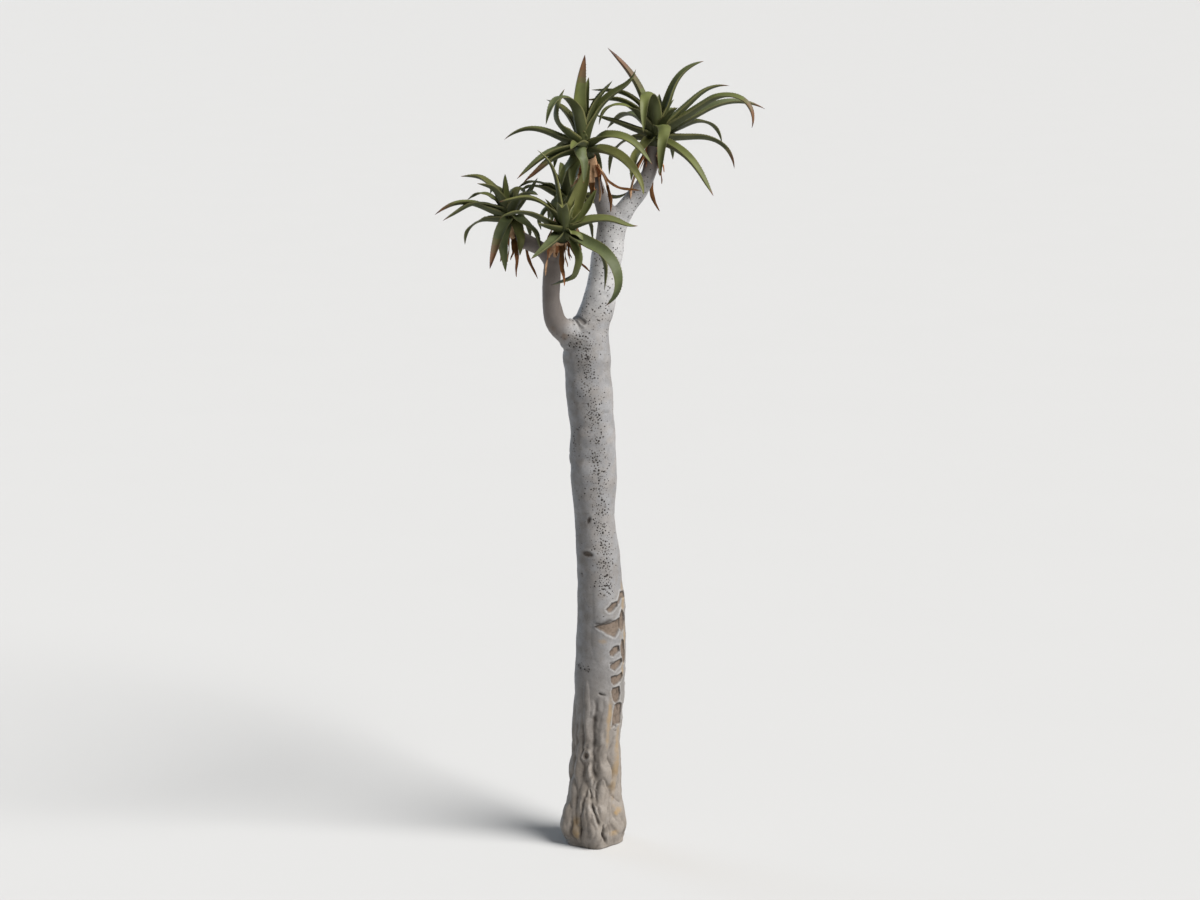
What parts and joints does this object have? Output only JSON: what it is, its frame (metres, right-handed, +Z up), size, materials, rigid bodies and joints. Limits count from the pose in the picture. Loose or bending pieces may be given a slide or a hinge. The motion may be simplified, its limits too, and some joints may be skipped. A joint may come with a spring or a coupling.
{
  "type": "quiver tree",
  "caption": "Young quiver tree: pale swelling trunk with a root flare, stout forked boughs, and rosettes of arching channelled leaves with dry leaves hanging under them.",
  "frame": {"origin": "middle of the flat cut under the trunk, at ground level", "axes": "+Z up the tree, -Y towards the viewer of the picture, +X to the viewer's right"},
  "size_m": [1.0011, 0.5799, 2.4795],
  "materials": {
    "bark": "smooth waxy pale grey bark with peeled tan scars",
    "leaf": "satin succulent leaf skin with a thin waxy bloom",
    "dry_leaf": "matt dry brown leaf"
  },
  "bodies": {
    "root": {"trunk": "bark", "main_bough": "bark", "left_elbow": "bark", "left_bough": "bark", "front_bough": "bark", "left_arm": "bark", "back_bough": "bark", "right_bough": "bark", "centre_bough": "bark", "rosette_right": "leaf", "rosette_centre": "leaf", "rosette_front": "leaf", "rosette_left": "leaf", "rosette_back": "leaf", "dry_leaves_right": "dry_leaf", "dry_leaves_centre": "dry_leaf", "dry_leaves_front": "dry_leaf", "dry_leaves_left": "dry_leaf", "dry_leaves_back": "dry_leaf"}
  },
  "joints": []
}
